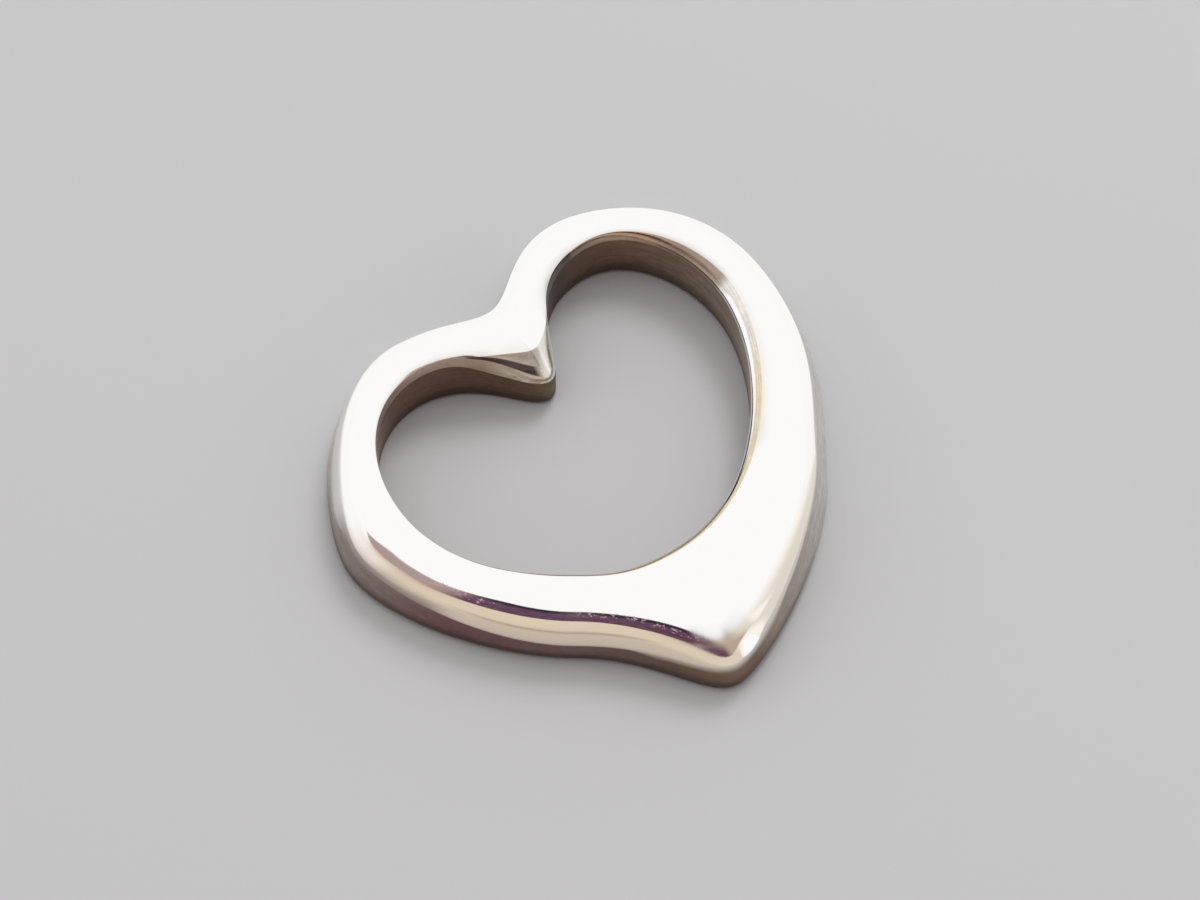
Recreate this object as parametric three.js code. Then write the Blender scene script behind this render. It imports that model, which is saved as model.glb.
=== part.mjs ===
// An open heart pendant: one cast silver band, bent into a heart and polished, that slides on a chain.
// It lies on its flat back at z = 0, with the notch towards +Y and the tip towards -Y. Millimetres.
import * as THREE from 'three';

// Overall size
const pendantWidth = 22;
const pendantHeight = 22.55;
const pendantThickness = 2.72;
const side = pendantWidth / 2;
const top = pendantHeight / 2;

// The heart has eight turns. Each list below has one value for each of them, anticlockwise:
// notch, left lobe, left side, left flank, tip, right flank, right side, right lobe.
const notch = 0;
const tip = 4;

// The outside outline at each turn: where it is, the way it runs there in degrees anticlockwise from +X, and how
// full its curve is before and after the turn, as a share of the straight distance to the neighbouring turn
const outsideX = [-0.33, -4.25, -side, -5.21, -0.17, 7.99, side, 4.42];
const outsideY = [top - 2.51, top - 1.92, 1.27, 4.44 - top, -top, 6.54 - top, 3.99, top];
const outsideHeading = [188.4, 180, 270, -31.1, 0, 61.5, 90, 180];
const outsideFullBefore = [0.21, 0.49, 0.2, 0.354, 0.213, 0.36, 0.433, 0.205];
const outsideFullAfter = [0.24, 0.39, 0.24, 0.518, 0.115, 0.33, 0.57, 0.46];

// The inside outline: one band width in from the outside one, running at a slightly different angle
const bandWidth = [4.33, 2.42, 2.65, 2.55, 5.63, 3.4, 2.71, 2.36];
const insideSwing = [-11.6, 2, 3.2, 0.8, 2.5, -14.5, -2, 8.8];
const insideFullBefore = [0.208, 0.5, 0.452, 0.488, 0.5, 0.5, 0.22, 0.4];
const insideFullAfter = [0.195, 0.335, 0.28, 0.295, 0.215, 0.44, 0.38, 0.6];

// Section of the band: an upright inner wall, a roll over its rim, a dome, and an upright outer wall
const rollWidth = [0.1, 0.08, 0.08, 0.3, 0.4, 0.45, 0.55, 0.11];
const rimDrop = [1.2, 0.63, 0.46, 0.3, 0.3, 0.3, 0.29, 0.3]; // how far the inner rim lies below the crown
const domeReach = [1.4, 1.4, 2.8, 2.5, 2.5, 1.7, 1.4, 1.4]; // how far the dome falls over, in from the outer wall
const domeFullness = [1.4, 1.4, 1.65, 2.75, 1.67, 2.62, 1.4, 1.4]; // power of the curve: 2 is an ellipse
const outerWallTop = [2.37, 2.37, 1.55, 1.16, 1.48, 2.4, 2.37, 2.37];
const outerWallLean = [0.51, 0.55, 0.28, 0, 0.19, 0.46, 0.54, 0.54]; // how far in the wall's top lies
const cuspCrownDip = 0.12;
const rollStartAngle = 20; // degrees of the roll's quarter curve that the sharp inner rim cuts off
const rollFullness = 1.6;
const domeEndAngle = 75; // degrees of the dome's quarter curve at which the outer wall cuts it off
const domeReachEase = 0.3;
const innerFootRadius = 0.3;
const outerFootHeight = 0.45;
const outerFootInset = 0.3;

// The roll widens to a nearly flat bevel at the cusp
const cuspRollWidth = 1.15;
const cuspRollFullness = 1.15;
const cuspReachLeft = 3.3;
const cuspReachRight = 3;

// Fineness of the surface
const stationPitch = 0.42;
const stationCrowding = 0.5; // spacing at the notch and the tip, as a share of the mean spacing
const innerFootSteps = 3;
const rollSteps = 5;
const domeSteps = 13;
const outerFootSteps = 4;

const radians = THREE.MathUtils.degToRad;

// A turn of an outline: a point, the way the outline runs there, and how full its curve is before and after
function turn(x, y, headingDegrees, fullBefore, fullAfter) {
  const heading = radians(headingDegrees);
  return {
    point: new THREE.Vector2(x, y),
    direction: new THREE.Vector2(Math.cos(heading), Math.sin(heading)),
    fullBefore,
    fullAfter,
  };
}

function outsideTurns() {
  return outsideX.map((x, k) => (
    turn(x, outsideY[k], outsideHeading[k], outsideFullBefore[k], outsideFullAfter[k])
  ));
}

function insideTurns(outer) {
  return outer.map(({ point, direction }, k) => {
    const x = point.x - direction.y * bandWidth[k];
    const y = point.y + direction.x * bandWidth[k];
    return turn(x, y, outsideHeading[k] + insideSwing[k], insideFullBefore[k], insideFullAfter[k]);
  });
}

// One curve from each turn to the next
function spans(turns) {
  return turns.map((from, index) => {
    const to = turns[(index + 1) % turns.length];
    const distance = from.point.distanceTo(to.point);
    return new THREE.CubicBezierCurve(
      from.point,
      from.point.clone().addScaledVector(from.direction, from.fullAfter * distance),
      to.point.clone().addScaledVector(to.direction, -to.fullBefore * distance),
      to.point,
    );
  });
}

// Shares of a span at which sections stand, crowded towards a sharp turn at its start or its end
function stationShares(count, crowdedStart, crowdedEnd) {
  const ease = (t) => t * (stationCrowding + (1 - stationCrowding) * t);
  return Array.from({ length: count }, (_, index) => {
    const t = index / count;
    if (crowdedStart) return ease(t);
    if (crowdedEnd) return 1 - ease(1 - t);
    return t;
  });
}

// Pairs of points, inside and outside, that each section of the band joins, and which turns they lie between
function sectionStations() {
  const outerSpans = spans(outsideTurns());
  const innerSpans = spans(insideTurns(outsideTurns()));
  const stations = [];
  outerSpans.forEach((outerSpan, from) => {
    const to = (from + 1) % outerSpans.length;
    const count = Math.round(outerSpan.getLength() / stationPitch);
    const starts = from === notch || from === tip;
    const ends = to === notch || to === tip;
    for (const share of stationShares(count, starts, ends)) {
      stations.push({
        outer: outerSpan.getPointAt(share),
        inner: innerSpans[from].getPointAt(share),
        from,
        to,
        share,
      });
    }
  });
  return stations;
}

// A listed value at a station, easing from one turn to the next
function easedBetween(values, { from, to, share }) {
  return THREE.MathUtils.lerp(values[from], values[to], THREE.MathUtils.smoothstep(share, 0, 1));
}

// 1 at the cusp, easing to 0 over a reach on either side of it, measured along the inside outline
function cuspShares(stations) {
  const travelled = [0];
  stations.forEach(({ inner }, index) => {
    travelled.push(travelled[index] + inner.distanceTo(stations[(index + 1) % stations.length].inner));
  });
  const around = travelled[stations.length];
  return stations.map((_, index) => {
    const fromLeft = travelled[index] / cuspReachLeft;
    const fromRight = (around - travelled[index]) / cuspReachRight;
    return 0.5 + 0.5 * Math.cos(Math.PI * Math.min(fromLeft, fromRight, 1));
  });
}

// A point on a quarter of a rounded corner, from [0, 1] at the top to [1, 0] at the side
function quarter(angle, fullness) {
  return [Math.sin(angle) ** (2 / fullness), Math.max(Math.cos(angle), 0) ** (2 / fullness)];
}

// The section's outline as [distance out from the inner wall, height], from the inner foot over the top
// and down to the foot of the outside; the flat back closes it.
function sectionOutline(station, band, cuspShare) {
  const crown = pendantThickness - cuspCrownDip * cuspShare;
  const rim = pendantThickness - easedBetween(rimDrop, station);
  const roll = THREE.MathUtils.lerp(easedBetween(rollWidth, station), cuspRollWidth, cuspShare);
  const outline = [];
  for (let step = 0; step <= innerFootSteps; step += 1) {
    const angle = ((Math.PI / 2) * step) / innerFootSteps;
    outline.push([innerFootRadius * (1 - Math.sin(angle)), innerFootRadius * (1 - Math.cos(angle))]);
  }
  outline.push([0, (innerFootRadius + rim) / 2], [0, rim]);

  const rollStart = radians(rollStartAngle);
  const rollPower = THREE.MathUtils.lerp(rollFullness, cuspRollFullness, cuspShare);
  const [upStart, inStart] = quarter(rollStart, rollPower);
  for (let step = 1; step <= rollSteps; step += 1) {
    const angle = rollStart + ((Math.PI / 2 - rollStart) * step) / rollSteps;
    const [up, inward] = quarter(angle, rollPower);
    outline.push([roll * (1 - inward / inStart), rim + ((crown - rim) * (up - upStart)) / (1 - upStart)]);
  }

  const wallTop = easedBetween(outerWallTop, station);
  const domeEnd = band - easedBetween(outerWallLean, station);
  const room = domeEnd - roll;
  const spare = (room - easedBetween(domeReach, station)) / domeReachEase;
  const reach = room - domeReachEase * Math.log1p(Math.exp(spare));
  const fullness = easedBetween(domeFullness, station);
  const [outEnd, upEnd] = quarter(radians(domeEndAngle), fullness);
  for (let step = 1; step <= domeSteps; step += 1) {
    const [out, up] = quarter((radians(domeEndAngle) * step) / domeSteps, fullness);
    const height = wallTop + ((crown - wallTop) * (up - upEnd)) / (1 - upEnd);
    outline.push([domeEnd - reach * (1 - out / outEnd), height]);
  }

  for (let step = 0; step <= outerFootSteps; step += 1) {
    const angle = ((Math.PI / 2) * step) / outerFootSteps;
    outline.push([band - outerFootInset * (1 - Math.cos(angle)), outerFootHeight * (1 - Math.sin(angle))]);
  }
  return outline;
}

// Sections joined into one closed skin, like a tube that meets itself at the notch
function bandGeometry() {
  const stations = sectionStations();
  const cusp = cuspShares(stations);
  const positions = [];
  let pointsPerSection = 0;
  stations.forEach((station, index) => {
    const across = station.outer.clone().sub(station.inner);
    const band = across.length();
    across.normalize();
    const outline = sectionOutline(station, band, cusp[index]);
    pointsPerSection = outline.length;
    for (const [out, height] of outline) {
      positions.push(station.inner.x + across.x * out, station.inner.y + across.y * out, height);
    }
  });

  const triangles = [];
  for (let station = 0; station < stations.length; station += 1) {
    const here = station * pointsPerSection;
    const next = ((station + 1) % stations.length) * pointsPerSection;
    for (let point = 0; point < pointsPerSection; point += 1) {
      const after = (point + 1) % pointsPerSection;
      triangles.push(here + point, here + after, next + point);
      triangles.push(here + after, next + after, next + point);
    }
  }

  const geometry = new THREE.BufferGeometry();
  geometry.setAttribute('position', new THREE.Float32BufferAttribute(positions, 3));
  geometry.setIndex(triangles);
  geometry.computeVertexNormals();
  return geometry;
}

function polishedSilver() {
  return new THREE.MeshStandardMaterial({ color: 0xdcd7ce, roughness: 0.12, metalness: 1 });
}

const openHeart = new THREE.Mesh(bandGeometry(), polishedSilver());
openHeart.name = 'open_heart';

const pendant = new THREE.Group();
pendant.add(openHeart);

export default pendant;
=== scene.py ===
# An open heart pendant, cast in one piece in sterling silver and polished by hand. It lies on its flat back
# on a pale stone slab. Lengths are in metres, with +Z up, the notch of the heart towards +Y and its tip
# towards -Y.
import math

import bpy
import numpy as np
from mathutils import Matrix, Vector


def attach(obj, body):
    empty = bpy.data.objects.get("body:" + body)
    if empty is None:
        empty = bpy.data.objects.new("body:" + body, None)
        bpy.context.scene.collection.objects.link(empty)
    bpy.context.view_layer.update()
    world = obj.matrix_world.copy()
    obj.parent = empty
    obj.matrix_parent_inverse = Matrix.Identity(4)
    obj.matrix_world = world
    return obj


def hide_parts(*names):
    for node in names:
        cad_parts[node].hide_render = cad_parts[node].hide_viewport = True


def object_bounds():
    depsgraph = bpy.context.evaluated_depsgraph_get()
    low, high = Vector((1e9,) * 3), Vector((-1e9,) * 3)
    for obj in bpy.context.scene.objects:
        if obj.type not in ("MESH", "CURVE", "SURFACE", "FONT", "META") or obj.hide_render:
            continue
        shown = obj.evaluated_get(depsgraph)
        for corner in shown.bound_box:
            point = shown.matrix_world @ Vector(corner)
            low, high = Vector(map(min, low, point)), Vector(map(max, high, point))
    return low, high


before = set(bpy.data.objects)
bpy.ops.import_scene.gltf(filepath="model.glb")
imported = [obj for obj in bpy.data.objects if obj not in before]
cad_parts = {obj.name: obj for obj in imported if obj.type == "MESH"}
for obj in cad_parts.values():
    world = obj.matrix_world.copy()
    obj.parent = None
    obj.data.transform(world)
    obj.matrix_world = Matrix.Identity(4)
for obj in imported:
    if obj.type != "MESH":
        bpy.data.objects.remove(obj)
cad_low, cad_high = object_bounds()
mm = 0.001

# The camera. A long lens looks down steeply at the heart from its tip's side, turned so that the larger lobe
# is at the upper right. right and away are the picture's own directions on the slab, in the model's frame.
camera_azimuth = math.radians(-30.8)
camera_elevation = math.radians(56)
camera_distance = 322 * mm
sensor_width = 36  # in millimetres, as the lens is
picture_width = 48.94 * mm  # what the picture takes in at the heart
picture_middle = Vector((0.914, 1.419, 0)) * mm

right = Vector((math.cos(camera_azimuth), math.sin(camera_azimuth), 0))
away = Vector((-math.sin(camera_azimuth), math.cos(camera_azimuth), 0))
to_camera = Vector((0, 0, math.sin(camera_elevation))) - away * math.cos(camera_elevation)

lens = bpy.data.cameras.new("camera")
lens.sensor_width = sensor_width
lens.lens = sensor_width * camera_distance / picture_width
lens.clip_start = 10 * mm
lens.clip_end = 10
camera = bpy.data.objects.new("camera", lens)
camera.location = picture_middle + to_camera * camera_distance
camera.rotation_mode = "QUATERNION"
camera.rotation_quaternion = (-to_camera).to_track_quat("-Z", "Y")
bpy.context.scene.collection.objects.link(camera)
bpy.context.scene.camera = camera


# The open heart. One band of silver, cast with a flat back, upright walls and a domed face, and wider at the
# cusp and at the tip. The dome is buffed to a mirror; the walls, which no buff reaches, keep the grain of the
# casting and have gone brown.
pendant_width = cad_high.x - cad_low.x
pendant_height = cad_high.y - cad_low.y
pendant_thickness = cad_high.z - cad_low.z

# The heart has eight turns. Each row has one value for each of them, anticlockwise: notch, left lobe, left
# side, left flank, tip, right flank, right side, right lobe. Lengths are in millimetres, headings in degrees
# from +X, and fullness is a share of the straight distance to the neighbouring turn, or the power of a
# section's curve.
side = pendant_width / 2 / mm
top = pendant_height / 2 / mm
turns = {
    "outside_x": (-0.33, -4.25, -side, -5.21, -0.17, 7.99, side, 4.42),
    "outside_y": (top - 2.51, top - 1.92, 1.27, 4.44 - top, -top, 6.54 - top, 3.99, top),
    "outside_heading": (188.4, 180, 270, -31.1, 0, 61.5, 90, 180),
    "outside_full_before": (0.21, 0.49, 0.2, 0.354, 0.213, 0.36, 0.433, 0.205),
    "outside_full_after": (0.24, 0.39, 0.24, 0.518, 0.115, 0.33, 0.57, 0.46),
    "band_width": (4.33, 2.42, 2.65, 2.55, 5.63, 3.4, 2.71, 2.36),
    "inside_swing": (-11.6, 2, 3.2, 0.8, 2.5, -14.5, -2, 8.8),
    "inside_full_before": (0.208, 0.5, 0.452, 0.488, 0.5, 0.5, 0.22, 0.4),
    "inside_full_after": (0.195, 0.335, 0.28, 0.295, 0.215, 0.44, 0.38, 0.6),
    "roll_width": (0.1, 0.08, 0.08, 0.3, 0.4, 0.45, 0.55, 0.11),
    "rim_drop": (1.2, 0.63, 0.46, 0.3, 0.3, 0.3, 0.29, 0.3),
    "dome_reach": (1.4, 1.4, 2.8, 2.5, 2.5, 1.7, 1.4, 1.4),
    "dome_fullness": (1.4, 1.4, 1.65, 2.75, 1.67, 2.62, 1.4, 1.4),
    "wall_top": (2.37, 2.37, 1.55, 1.16, 1.48, 2.4, 2.37, 2.37),
    "wall_lean": (0.51, 0.55, 0.28, 0, 0.19, 0.46, 0.54, 0.54),
    "rubbed_rim": (0.3, 0.05, 0.04, 0.04, 0.05, 0.1, 0.1, 0.05),
    "rubbed_wall_top": (0.1, 0.1, 0.26, 0.07, 0.06, 0.08, 0.1, 0.1),
}
turn_count = len(turns["band_width"])
cusp_crown_dip = 0.12 * mm
cusp_roll_width = 1.15 * mm
cusp_reach_left = 3.3 * mm
cusp_reach_right = 3.0 * mm
roll_start = math.radians(20)  # how much of the roll's quarter curve the sharp inner rim cuts off
roll_fullness = 1.6  # 1 is a flat bevel, 2 an ellipse, more is squarer
cusp_roll_fullness = 1.15
dome_end = math.radians(75)  # where the outer wall cuts off the dome's quarter curve
dome_reach_ease = 0.3 * mm
inner_foot = 0.3 * mm  # radius under the inner wall
outer_foot_height = 0.45 * mm
outer_foot_inset = 0.3 * mm

# A small flat worn into the ridge beside the tip
flat_middle = (0.73 * mm, -10.73 * mm, 1.63 * mm)
flat_bearing = math.radians(-68)
flat_tilt = math.radians(52)
flat_depth = 0.018 * mm
flat_reach = 0.8 * mm

# Fineness of the surface. A place across the band goes from 0 to 1 up the inner wall, to 2 over the roll, to
# 3 over the dome, to 4 down the outer wall and to 5 over the back. A place along it is counted in turns.
stations_per_turn = 96
curve_points = 12 * stations_per_turn
section_curve_points = 81
inner_foot_end = 0.1
outer_foot_start = 3.8
back_end = 5
section_stretches = (  # from one place to another, in so many points
    (0, inner_foot_end, 7),
    (0.2, 0.8, 5),
    (0.86, 1.3, 23),
    (1.36, 2, 11),
    (2.03, 2.8, 34),
    (2.82, 3.2, 24),
    (3.3, outer_foot_start, 6),
    (3.83, 4, 6),
    (4.125, 4.875, 7),
)
section_places = np.concatenate([np.linspace(*stretch) for stretch in section_stretches])


def outline(points, headings, full_before, full_after):
    """Points evenly spaced along the curve from each turn to the next."""
    directions = np.stack([np.cos(np.radians(headings)), np.sin(np.radians(headings))], axis=1)
    found = []
    for here in range(len(points)):
        there = (here + 1) % len(points)
        distance = np.linalg.norm(points[there] - points[here])
        leaving = points[here] + directions[here] * full_after[here] * distance
        arriving = points[there] - directions[there] * full_before[there] * distance
        t = np.linspace(0, 1, curve_points)[:, None]
        curve = (
            (1 - t) ** 3 * points[here]
            + 3 * (1 - t) ** 2 * t * leaving
            + 3 * (1 - t) * t**2 * arriving
            + t**3 * points[there]
        )
        travelled = np.append(0, np.cumsum(np.linalg.norm(np.diff(curve, axis=0), axis=1)))
        stops = np.arange(stations_per_turn) / stations_per_turn * travelled[-1]
        found.append(np.stack([np.interp(stops, travelled, curve[:, axis]) for axis in (0, 1)], axis=1))
    return np.concatenate(found)


def outlines():
    """The outside outline, and the inside one, whose turns lie one band width further in."""
    row = {name: np.array(values) for name, values in turns.items()}
    outside = np.stack([row["outside_x"], row["outside_y"]], axis=1) * mm
    heading = np.radians(row["outside_heading"])
    inward = np.stack([-np.sin(heading), np.cos(heading)], axis=1)
    inside = outside + inward * row["band_width"][:, None] * mm
    inside_heading = row["outside_heading"] + row["inside_swing"]
    outer = outline(outside, row["outside_heading"], row["outside_full_before"], row["outside_full_after"])
    inner = outline(inside, inside_heading, row["inside_full_before"], row["inside_full_after"])
    return outer, inner


def swell(points, reach_before, reach_after):
    """1 at the outline's start, easing to 0 over a reach before it and a reach after it."""
    steps = np.linalg.norm(np.roll(points, -1, axis=0) - points, axis=1)
    travelled = np.append(0, np.cumsum(steps))
    nearest = travelled[:-1] - travelled[-1] * np.round(travelled[:-1] / travelled[-1])
    share = np.where(nearest < 0, -nearest / reach_before, nearest / reach_after)
    return 0.5 + 0.5 * np.cos(np.pi * np.minimum(share, 1))


def eased_between(values):
    """A value of the turns at every station, easing from one turn to the next."""
    share = np.arange(stations_per_turn) / stations_per_turn
    ease = share**2 * (3 - 2 * share)
    pairs = zip(values, values[1:] + values[:1])
    return np.concatenate([here + (there - here) * ease for here, there in pairs])


def quarter(angle, fullness):
    """Points on a quarter of a rounded corner, from (0, 1) at the top to (1, 0) at the side."""
    return np.sin(angle) ** (2 / fullness), np.maximum(np.cos(angle), 0) ** (2 / fullness)


def rubbed(points, corner, reach):
    """A sharp corner of an outline rubbed round, over a reach before it and after it."""
    travelled = np.append(0, np.cumsum(np.linalg.norm(np.diff(points, axis=0), axis=1)))
    stops = travelled[corner] + np.array([-reach, 0, reach])
    before, edge, after = np.stack([np.interp(stops, travelled, points[:, axis]) for axis in (0, 1)], axis=1)
    t = ((travelled - stops[0]) / (2 * reach))[:, None]
    curve = (1 - t) ** 2 * before + 2 * t * (1 - t) * edge + t**2 * after
    return np.where((t > 0) & (t < 1), curve, points)


def section(
    band, cusp, roll, rim_drop, wall_top, wall_lean, dome_reach, rubbed_rim, rubbed_wall_top, dome_fullness
):
    """The band cut across: distance out from the inner wall, and height, at each of section_places."""
    crown = pendant_thickness - cusp_crown_dip * cusp
    rim = pendant_thickness - rim_drop
    share = np.linspace(0, 1, section_curve_points)
    turned = math.pi / 2 * share
    out = inner_foot * (1 - np.sin(turned))
    height = inner_foot * (1 - np.cos(turned))
    stretches = [(out, height, inner_foot_end * share)]
    height = inner_foot + (rim - inner_foot) * share
    stretches.append((0 * share, height, inner_foot_end + (1 - inner_foot_end) * share))

    fullness = roll_fullness + (cusp_roll_fullness - roll_fullness) * cusp
    up_cut, in_cut = quarter(roll_start, fullness)
    up, inward = quarter(roll_start + (math.pi / 2 - roll_start) * share, fullness)
    height = rim + (crown - rim) * (up - up_cut) / (1 - up_cut)
    stretches.append((roll * (1 - inward / in_cut), height, 1 + share))

    room = band - roll - wall_lean
    reach = room - dome_reach_ease * math.log1p(math.exp((room - dome_reach) / dome_reach_ease))
    out_cut, up_cut = quarter(dome_end, dome_fullness)
    out, up = quarter(dome_end * share, dome_fullness)
    height = wall_top + (crown - wall_top) * (up - up_cut) / (1 - up_cut)
    stretches.append((band - wall_lean - reach * (1 - out / out_cut), height, 2 + share))

    height = wall_top + (outer_foot_height - wall_top) * share
    stretches.append((band - wall_lean * (1 - share), height, 3 + (outer_foot_start - 3) * share))
    foot = band - outer_foot_inset * (1 - np.cos(turned))
    height = outer_foot_height * (1 - np.sin(turned))
    stretches.append((foot, height, outer_foot_start + (4 - outer_foot_start) * share))
    stretches.append((foot[-1] + (inner_foot - foot[-1]) * share, 0 * share, 4 + share))

    out, height, place = np.concatenate([np.array(stretch)[:, :-1] for stretch in stretches], axis=1)
    points = np.stack([out, height], axis=1)
    points = rubbed(points, np.searchsorted(place, 1), rubbed_rim)
    points = rubbed(points, np.searchsorted(place, 3), rubbed_wall_top)
    return [np.interp(section_places, place, points[:, axis]) for axis in (0, 1)]


def worn_flat(points):
    """Points that lie past the plane of the flat, pressed back on to it."""
    level = math.sin(flat_tilt)
    facing = (level * math.cos(flat_bearing), level * math.sin(flat_bearing), math.cos(flat_tilt))
    from_middle = points - np.array(flat_middle)
    past = np.maximum(from_middle @ facing + flat_depth, 0)
    near = np.linalg.norm(from_middle, axis=1) < flat_reach
    return points - np.outer(past * near, facing)


def band_mesh():
    """Sections joined into one closed skin, like a tube that meets itself at the notch. Each corner of a face
    keeps its place across the band and its place along it, for the material."""
    outer, inner = outlines()
    cusp = swell(inner, cusp_reach_right, cusp_reach_left)
    names = ("rim_drop", "wall_top", "wall_lean", "dome_reach", "rubbed_rim", "rubbed_wall_top")
    lengths = [eased_between(turns[name]) * mm for name in names]
    roll = eased_between(turns["roll_width"]) * mm
    roll += (cusp_roll_width - roll) * cusp
    fullness = eased_between(turns["dome_fullness"])
    corners = []
    for inside, outside, *values in zip(inner, outer, cusp, roll, *lengths, fullness):
        across = outside - inside
        band = np.linalg.norm(across)
        for out, height in zip(*section(band, *values)):
            corners.append((*(inside + across / band * out), height))
    corners = worn_flat(np.array(corners))

    around = len(section_places)
    faces = []
    corner_places = []
    corner_turns = []
    for here in range(len(inner)):
        there = (here + 1) % len(inner)
        for step in range(around):
            after = (step + 1) % around
            ring = [(here, step), (here, after), (there, after), (there, step)]
            faces.append([station * around + point for station, point in ring])
            first = section_places[step]
            last = back_end if after == 0 else section_places[after]
            corner_places += [first, last, last, first]
            corner_turns += [share / stations_per_turn for share in (here, here, here + 1, here + 1)]
    mesh = bpy.data.meshes.new("open_heart")
    mesh.from_pydata(corners, [], faces)
    mesh.shade_smooth()
    for name, values in (("section_place", corner_places), ("band_turn", corner_turns)):
        mesh.attributes.new(name, "FLOAT", "CORNER").data.foreach_set("value", values)
    return mesh


class Shade:
    """A value or a colour that changes over a surface. Arithmetic on values adds the Math nodes for it."""

    def __init__(self, socket):
        self.socket = socket

    @classmethod
    def node(cls, tree, kind, settings=(), inputs=(), output=0):
        """One output of a new node, which gets its settings first and then each socket's value or link."""
        made = tree.nodes.new(kind)
        for name, setting in dict(settings).items():
            if name == "stops":
                ramp = made.color_ramp.elements
                while len(ramp) < len(setting):
                    ramp.new(1)
                for element, (position, colour) in zip(ramp, setting):
                    element.position = position
                    element.color = (*colour, 1)
            else:
                setattr(made, name, setting)
        for name, given in dict(inputs).items():
            if isinstance(given, cls):
                tree.links.new(given.socket, made.inputs[name])
            else:
                made.inputs[name].default_value = given
        return cls(made.outputs[output])

    @classmethod
    def math(cls, operation, *terms):
        tree = next(term for term in terms if isinstance(term, cls)).socket.id_data
        return cls.node(tree, "ShaderNodeMath", {"operation": operation}, enumerate(terms))

    def beside(self, output):
        """Another output of the same node."""
        return Shade(self.socket.node.outputs[output])

    def __add__(self, other):
        return Shade.math("ADD", self, other)

    def __sub__(self, other):
        return Shade.math("SUBTRACT", self, other)

    def __mul__(self, other):
        return Shade.math("MULTIPLY", self, other)

    def __radd__(self, other):
        return Shade.math("ADD", other, self)

    def __rsub__(self, other):
        return Shade.math("SUBTRACT", other, self)

    def __rmul__(self, other):
        return Shade.math("MULTIPLY", other, self)

    def eased(self, low, high):
        """0 at low, 1 at high, smooth between them."""
        settings = {"interpolation_type": "SMOOTHSTEP"}
        inputs = {"Value": self, "From Min": low, "From Max": high}
        return Shade.node(self.socket.id_data, "ShaderNodeMapRange", settings, inputs)

    def window(self, low, high, soft):
        """1 between low and high, easing to 0 over soft on either side."""
        return self.eased(low - soft, low) * self.eased(high + soft, high)

    def mix(self, where_0, where_1):
        """A colour that goes from where_0 to where_1 as this value goes from 0 to 1."""
        colours = [given if isinstance(given, Shade) else (*given, 1) for given in (where_0, where_1)]
        inputs = {0: self, 6: colours[0], 7: colours[1]}
        return Shade.node(self.socket.id_data, "ShaderNodeMix", {"data_type": "RGBA"}, inputs, 2)


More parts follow.
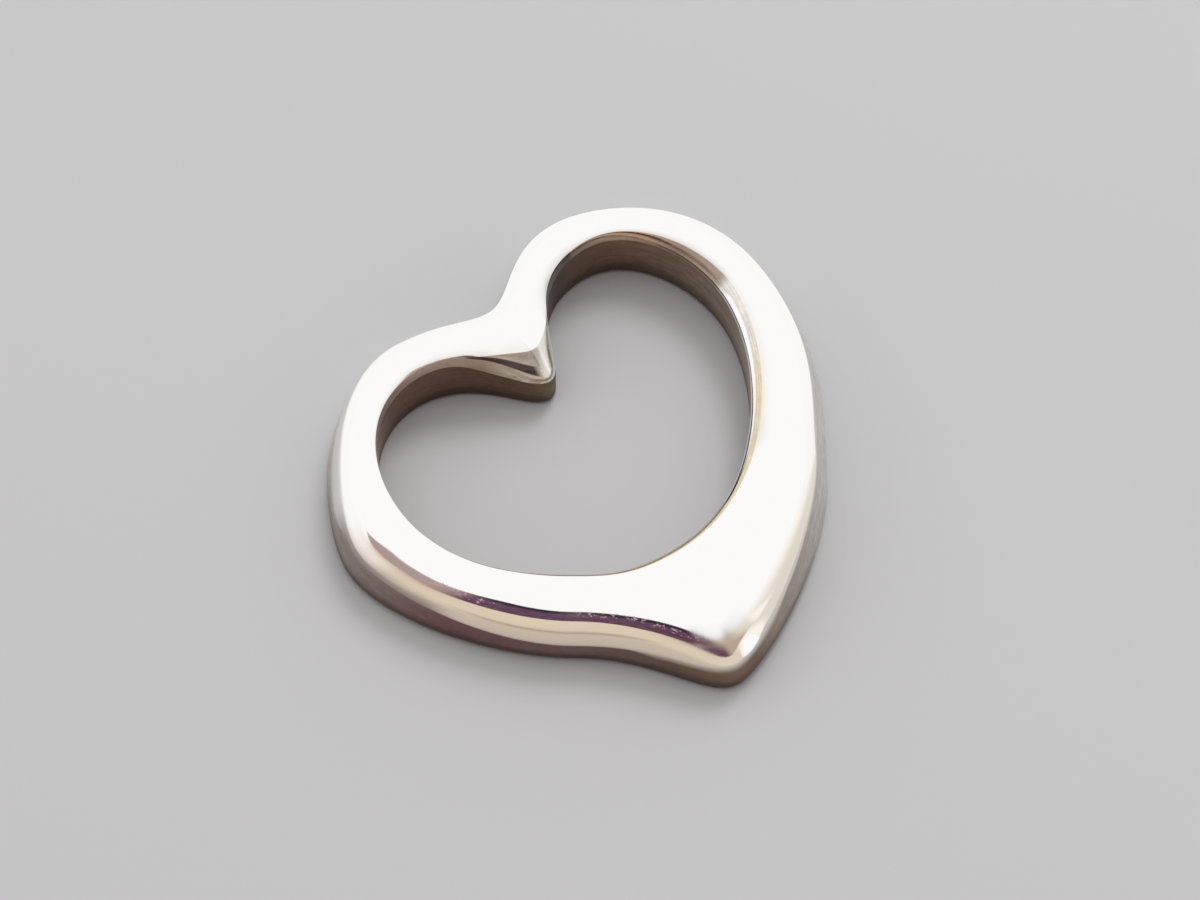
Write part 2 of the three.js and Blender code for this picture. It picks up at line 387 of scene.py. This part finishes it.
def polished_silver():
    """Silver with the brown and gold tarnish of its walls and rim, and with painted reflections and painted
    shade on the foot of the dome, the roll and the walls. The colours that change along the band are listed
    with the turn at which each stands."""
    bright_silver = (0.96, 0.953, 0.942)
    # The foot of the dome: a painted reflection of the pale slab in cream and peach, with painted shade on the
    # left side.
    dome_foot_reflection_colours = (
        (0, (0.95, 0.945, 0.93)),
        (1.9, (0.95, 0.94, 0.92)),
        (2.05, (0.84, 0.76, 0.68)),
        (2.3, (0.96, 0.84, 0.69)),
        (3.6, (0.97, 0.84, 0.68)),
        (4, (0.95, 0.86, 0.74)),
        (4.15, (0.94, 0.89, 0.81)),
        (4.5, (0.95, 0.89, 0.78)),
        (4.9, (0.95, 0.92, 0.86)),
        (5.3, (0.95, 0.945, 0.93)),
        (8, (0.95, 0.945, 0.93)),
    )
    # The roll: brown tarnish, with painted cream and gold reflections at the cusp and from the tip round the
    # right flank.
    roll_tarnish_and_reflection_colours = (
        (0, (0.96, 0.91, 0.8)),
        (0.3, (0.93, 0.83, 0.66)),
        (0.5, (0.66, 0.49, 0.38)),
        (0.8, (0.68, 0.51, 0.41)),
        (1.4, (0.62, 0.47, 0.39)),
        (1.9, (0.66, 0.55, 0.48)),
        (2.2, (0.5, 0.33, 0.28)),
        (2.9, (0.62, 0.42, 0.32)),
        (3.6, (0.84, 0.64, 0.4)),
        (4.5, (0.84, 0.72, 0.52)),
        (5, (0.84, 0.73, 0.52)),
        (5.5, (0.86, 0.76, 0.56)),
        (5.85, (0.92, 0.89, 0.83)),
        (6.05, (0.92, 0.89, 0.82)),
        (6.07, (0.44, 0.37, 0.29)),
        (6.4, (0.36, 0.27, 0.21)),
        (6.6, (0.6, 0.41, 0.29)),
        (6.85, (0.66, 0.5, 0.38)),
        (7.06, (0.6, 0.48, 0.38)),
        (7.09, (0.3, 0.26, 0.23)),
        (7.5, (0.6, 0.56, 0.5)),
        (7.7, (0.95, 0.94, 0.9)),
        (8, (0.96, 0.94, 0.9)),
    )
    inner_wall_colours = (
        (0, (0.26, 0.18, 0.11)),
        (0.6, (0.3, 0.18, 0.12)),
        (1.2, (0.36, 0.23, 0.165)),
        (1.5, (0.45, 0.32, 0.26)),
        (3, (0.5, 0.41, 0.33)),
        (5, (0.58, 0.49, 0.4)),
        (5.7, (0.64, 0.55, 0.44)),
        (6.1, (0.6, 0.48, 0.37)),
        (6.4, (0.5, 0.36, 0.26)),
        (6.8, (0.38, 0.24, 0.165)),
        (7.07, (0.34, 0.23, 0.17)),
        (7.2, (0.19, 0.155, 0.13)),
        (7.7, (0.24, 0.185, 0.13)),
        (8, (0.26, 0.18, 0.11)),
    )
    # The outer walls: tarnish, made darker from the left side round to the tip by a painted reflection of the
    # slab in shade there.
    outer_wall_tarnish_and_shade_colours = (
        (0, (0.7, 0.66, 0.61)),
        (1.3, (0.9, 0.88, 0.85)),
        (1.85, (0.5, 0.44, 0.4)),
        (2.15, (0.38, 0.3, 0.27)),
        (2.5, (0.29, 0.16, 0.16)),
        (3, (0.35, 0.235, 0.215)),
        (3.6, (0.29, 0.2, 0.155)),
        (4.1, (0.3, 0.21, 0.145)),
        (4.25, (0.5, 0.42, 0.35)),
        (4.5, (0.66, 0.6, 0.54)),
        (5.1, (0.96, 0.95, 0.93)),
        (6.5, (0.96, 0.95, 0.93)),
        (8, (0.7, 0.66, 0.61)),
    )
    grime_and_shade = (0.09, 0.06, 0.045)
    stain_and_dark_reflection = (0.09, 0.055, 0.055)
    shade = (0.4, 0.33, 0.29)
    reflected_line_tan = (0.72, 0.58, 0.42)
    glint_pink = (0.88, 0.56, 0.6)
    rim_brown = (0.5, 0.36, 0.22)
    gold = (0.88, 0.7, 0.45)
    back_silver = (0.74, 0.71, 0.67)
    place_length = 2 * mm  # about how far apart two whole places lie
    relief_height = 0.02 * mm
    flat_radius = 0.44 * mm
    flat_edge = 0.06 * mm

    material = bpy.data.materials.new("polished_silver")
    material.use_nodes = True
    tree = material.node_tree
    surface = tree.nodes["Principled BSDF"]
    surface.inputs["Metallic"].default_value = 1

    position = Shade.node(tree, "ShaderNodeTexCoord", output="Object")
    place = Shade.node(tree, "ShaderNodeAttribute", {"attribute_name": "section_place"}, output="Fac")
    turn = Shade.node(tree, "ShaderNodeAttribute", {"attribute_name": "band_turn"}, output="Fac")
    x = Shade.node(tree, "ShaderNodeSeparateXYZ", {}, {"Vector": position})
    unrolled = {"X": x, "Y": x.beside("Y"), "Z": place * place_length}
    along_band = Shade.node(tree, "ShaderNodeCombineXYZ", {}, unrolled)

    def around(colours):
        """A colour that goes from one listed colour to the next with the turn."""
        stops = [(at / turn_count, colour) for at, colour in colours]
        return Shade.node(tree, "ShaderNodeValToRGB", {"stops": stops}, {"Fac": turn * (1 / turn_count)})

    def noise(size, detail=3, roughness=0.5, where=position, stretch=(1, 1, 1)):
        """Blotches of about this size, as a value round 0.5. A stretch over 1 makes them narrower."""
        scale = [share / size for share in stretch]
        scaled = Shade.node(tree, "ShaderNodeVectorMath", {"operation": "MULTIPLY"}, {0: where, 1: scale})
        inputs = {"Vector": scaled, "Scale": 1, "Detail": detail, "Roughness": roughness}
        return Shade.node(tree, "ShaderNodeTexNoise", {}, inputs)

    clouds = noise(1.6 * mm, detail=4)
    grain = noise(0.07 * mm, roughness=0.65)
    casting = noise(0.3 * mm, detail=4, roughness=0.6)
    streaks = noise(1.5 * mm, detail=4, roughness=0.6, where=along_band, stretch=(1, 1, 11))
    specks = noise(0.075 * mm, detail=2).eased(0.7, 0.76)

    # Masks, each 1 on one part of the surface, from its place across the band and its turn along it: the walls,
    # the back and the worn flat, then the foot of the dome, then the rim with its roll and the cusp.
    left_side = turn.window(0.9, 1.75, 0.2)
    tip_front = turn.window(3.5, 4.2, 0.2)
    inner_wall = (place - turn.window(0.8, 1.7, 0.4) * 0.22).eased(0.99, 0.94)
    wall_low = 2.97 - tip_front * 0.05
    wall_high = 3.03 + left_side * 0.3 + tip_front * 0.3
    outer_wall = (place - left_side * 0.22).eased(wall_low, wall_high) * place.eased(4.01, 3.98)
    back = place.eased(3.97, 4.03)
    to_flat = {0: position, 1: flat_middle}
    from_flat = Shade.node(tree, "ShaderNodeVectorMath", {"operation": "DISTANCE"}, to_flat, "Value")
    on_flat = from_flat.eased(flat_radius + flat_edge, flat_radius)

    dome_foot = (place - turn.eased(2.7, 2.3) * 0.07).eased(2.5, 2.59) * (1 - on_flat)
    # Painted shade: the lower dome on the left side darkened towards its wall.
    left_foot_shade = dome_foot * place.eased(2.72, 3) * turn.window(1.95, 2.35, 0.2)
    # Painted reflection: a darker tan line along the near foot of the dome.
    foot_reflected_line = place.window(2.765, 2.775, 0.03) * turn.window(2.7, 3.3, 0.3)
    near_foot = place.eased(2.59, 2.67) * (1 - outer_wall) * (1 - on_flat)
    near_foot = near_foot * (turn.window(2.1, 3.8, 0.2) + turn.window(4.4, 5.5, 0.2) * 0.6)
    wall_edge = left_side * place.window(2.85, 3.1, 0.1)

    right_rim = turn.window(4.6, 5.95, 0.08) * place.eased(1.5, 1.38)
    gold_rim = place.window(0.98, 1.1, 0.05) * turn.window(0.04, 0.6, 0.04)
    narrowed = turn.window(2.5, 4.7, 0.4) * 0.17
    roll = place.eased(0.89, 0.94) * (place + narrowed).eased(1.99, 1.86) * (1 - right_rim)
    cusp_sides = turn.eased(0, 0.03) * turn.eased(0.6, 0.3) + turn.eased(7.6, 7.75) * 0.5
    cusp_bevel = place.window(1.1, 1.85, 0.08) * cusp_sides
    # A dark lens on the cusp's left: partly a real stain, partly a painted dark reflection.
    cusp_stain_and_reflection = (place - 1.28 - turn * 0.85).window(-0.1, 0.08, 0.06) * turn.window(0.07, 0.6, 0.06)

    # Wear: two scuffed patches above the near flank, whose pink colour is a painted glint, and a haze over the
    # tip
    scuffed = turn.window(3.1, 3.75, 0.15) * (place - turn.eased(3.4, 3.8) * 0.07).window(2.43, 2.49, 0.02)
    scuffed = scuffed + turn.window(2.42, 2.62, 0.1) * place.window(2.48, 2.54, 0.03)
    scratches = noise(0.2 * mm, detail=4, roughness=0.65, where=along_band, stretch=(1, 1, 2))
    scuffs_and_glints = scratches.eased(0.54, 0.6) * scuffed
    tip_haze = turn.window(3.82, 4.1, 0.08) * place.window(2.4, 2.62, 0.08)

    # Colour: each part's own, darkened with grime where the grain lets it settle and with painted shade towards
    # the feet of the walls, one laid over the other
    clean_cusp = turn.eased(7.6, 7.8) * 0.4
    roll_colour = (streaks * 0.7 + casting * 0.4 + 0.3 + clean_cusp).mix(grime_and_shade, around(roll_tarnish_and_reflection_colours))
    roll_colour = (gold_rim * casting.eased(0.4, 0.6) * 0.8).mix(roll_colour, rim_brown)
    roll_colour = (cusp_stain_and_reflection * (streaks * 0.4 + 0.75)).mix(roll_colour, stain_and_dark_reflection)
    inner_colour = (streaks * 0.9 + casting * 0.5 - 0.05).mix(grime_and_shade, around(inner_wall_colours))
    # Painted shade: the inner wall darkened towards its foot.
    inner_colour = (place.eased(0.5, 0.06) * 0.75).mix(inner_colour, grime_and_shade)
    outer_colour = (streaks * 0.6 + casting * 0.5 + 0.25).mix(grime_and_shade, around(outer_wall_tarnish_and_shade_colours))
    # Painted shade: the outer wall darkened towards its foot, round the near side.
    outer_colour = (place.eased(3.5, 3.9) * turn.window(1.9, 4.4, 0.4) * 0.7).mix(outer_colour, grime_and_shade)
    foot_colour = (foot_reflected_line * 0.8).mix(around(dome_foot_reflection_colours), reflected_line_tan)
    foot_colour = (left_foot_shade * 0.9).mix(foot_colour, shade)
    colour = dome_foot.mix(bright_silver, foot_colour)
    colour = roll.mix(colour, roll_colour)
    colour = inner_wall.mix(colour, inner_colour)
    colour = outer_wall.mix(colour, outer_colour)
    # Painted glint: a pink colour over the scuffs.
    colour = scuffs_and_glints.mix(colour, glint_pink)
    colour = (specks * (inner_wall + roll) * 0.45).mix(colour, gold)
    colour = back.mix(colour, back_silver)
    tree.links.new(colour.socket, surface.inputs["Base Color"])

    # Roughness: a buffed mirror, with more where each part is duller
    roughness = (
        (0.05 + clouds * 0.03)
        + near_foot * 0.14
        + scuffs_and_glints * 0.4
        + tip_haze * 0.16
        + wall_edge * 0.2
        + roll * turn.window(0.4, 7.8, 0.1) * 0.16
        + cusp_bevel * 0.3
        + inner_wall * (0.3 + grain * 0.12)
        + outer_wall * (0.28 + grain * 0.08)
        + back * 0.25
    )
    tree.links.new(roughness.socket, surface.inputs["Roughness"])

    # Relief: the grain of the casting, left where no buff reaches
    unbuffed = inner_wall + outer_wall * 0.4 + roll * 0.3 + back * 0.1
    relief = (casting * 0.7 + grain * 0.5) * unbuffed + grain * 0.005
    relief_inputs = {"Strength": 1, "Distance": relief_height, "Height": relief}
    bump = Shade.node(tree, "ShaderNodeBump", {}, relief_inputs, "Normal")
    tree.links.new(bump.socket, surface.inputs["Normal"])
    return material


open_heart = bpy.data.objects.new("open_heart_band", band_mesh())
open_heart.data.materials.append(polished_silver())
bpy.context.scene.collection.objects.link(open_heart)
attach(open_heart, "root")
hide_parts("open_heart")


# The slab under the heart. A plain pale stone, sawn flat and ground matt, on which the heart lies loose. It
# isn't part of the object.
slab_size = 4
slab_gap = 0.004 * mm  # below the back of the heart
slab_colour = (0.57, 0.572, 0.58)
slab_finish = {"Base Color": (*slab_colour, 1), "Roughness": 0.9, "Specular IOR Level": 0.1}

corners = [(x * slab_size / 2, y * slab_size / 2, -slab_gap) for x, y in ((-1, -1), (1, -1), (1, 1), (-1, 1))]
slab_mesh = bpy.data.meshes.new("slab")
slab_mesh.from_pydata(corners, [], [(0, 1, 2, 3)])
slab = bpy.data.objects.new("slab", slab_mesh)
bpy.context.scene.collection.objects.link(slab)
stone = bpy.data.materials.new("pale_stone")
stone.use_nodes = True
for name, value in slab_finish.items():
    stone.node_tree.nodes["Principled BSDF"].inputs[name].default_value = value
slab_mesh.materials.append(stone)


# The light. A white cloth tent, with a dark card and a cream reflector hung in front, where the camera is, and
# a cream wall, a low window and a narrow slit at the right. A soft lamp behind the heart throws its shadow
# forward. Directions are in degrees: elevation above the slab, and bearing to the right of the camera.
tent_white = (1.0, 1.0, 1.0)
cream = (0.73, 0.70, 0.66)
cream_wall = (0.76, 0.75, 0.72)
card_violet = (0.10, 0.047, 0.098)
card_pink = (0.30, 0.19, 0.22)
card_dark = (0.035, 0.016, 0.032)
card_brown = (0.42, 0.32, 0.30)
card_tan = (0.48, 0.41, 0.36)


def tent():
    """The surroundings. Each colour is laid over those before it, where its mask of bearing and elevation
    is 1."""
    world = bpy.data.worlds.new("tent")
    world.use_nodes = True
    tree = world.node_tree
    sky = tree.nodes["Background"]
    way = Shade.node(tree, "ShaderNodeTexCoord", output="Generated")

    def along(axis):
        """How far a direction points along an axis."""
        terms = {0: way, 1: axis}
        return Shade.node(tree, "ShaderNodeVectorMath", {"operation": "DOT_PRODUCT"}, terms, "Value")

    def noise(scale, detail):
        return Shade.node(tree, "ShaderNodeTexNoise", {}, {"Vector": way, "Scale": scale, "Detail": detail})

    elevation = Shade.math("ARCSINE", along((0, 0, 1))) * math.degrees(1)
    bearing = Shade.math("ARCTAN2", along(right), along(-away)) * math.degrees(1)
    wobble = (noise(9, 3) - 0.5) * 8  # by how many degrees an edge wanders

    colour = elevation.eased(4, 0).mix(tent_white, slab_colour)
    colour = (bearing.window(88, 122, 5) * elevation.eased(48, 30)).mix(colour, cream_wall)
    colour = (bearing.window(-62, 66, 12) * elevation.eased(44, 40)).mix(colour, cream)

    # The card: mottled violet, dark along its top, brown at the left, tan at the right and the upper right
    card_colour = (noise(34, 4).eased(0.45, 0.68) * 0.5).mix(card_violet, card_pink)
    card_colour = (elevation + wobble).eased(51, 57).mix(card_colour, card_dark)
    card_colour = (bearing + wobble).eased(-38, -54).mix(card_colour, card_brown)
    upper_right = bearing.eased(-18, 40) * elevation.eased(38, 60)
    card_colour = (upper_right * 0.8).mix(card_colour, card_tan)
    card_colour = (bearing + wobble).eased(24, 52).mix(card_colour, card_tan)
    card_low = 31.5 + bearing.eased(-50, -68) * 6
    card_high = 61.5 - bearing.eased(-35, -60) * 11 - bearing.eased(-84, -106) * 14
    above = (elevation - card_low + wobble * 0.15).eased(-1, 1)
    below = (elevation - card_high + wobble * 0.1).eased(1, -1)
    card = above * below * bearing.eased(-116, -110) * bearing.eased(90, 81)
    colour = card.mix(colour, card_colour)

    window = bearing.window(72, 85, 1.5) * elevation.eased(25, 22)
    slit = bearing.window(88, 91, 1) * elevation.window(29, 43, 4)
    colour = (window + slit).mix(colour, tent_white)
    tree.links.new(colour.socket, sky.inputs["Color"])
    bpy.context.scene.world = world


tent()

lamp_size = 120 * mm
lamp_watts = 0.25
lamp_distance = 300 * mm
lamp_way = (away * 0.62 + right * 0.28 + Vector((0, 0, 0.8))).normalized()

lamp = bpy.data.lights.new("soft_lamp", "AREA")
lamp.shape = "DISK"
lamp.size = lamp_size
lamp.energy = lamp_watts
lamp_stand = bpy.data.objects.new("soft_lamp", lamp)
lamp_stand.location = lamp_way * lamp_distance
lamp_stand.rotation_mode = "QUATERNION"
lamp_stand.rotation_quaternion = lamp_way.to_track_quat("Z", "Y")
lamp_stand.visible_glossy = False
lamp_stand.visible_camera = False
bpy.context.scene.collection.objects.link(lamp_stand)

bpy.context.scene.view_settings.view_transform = "Standard"
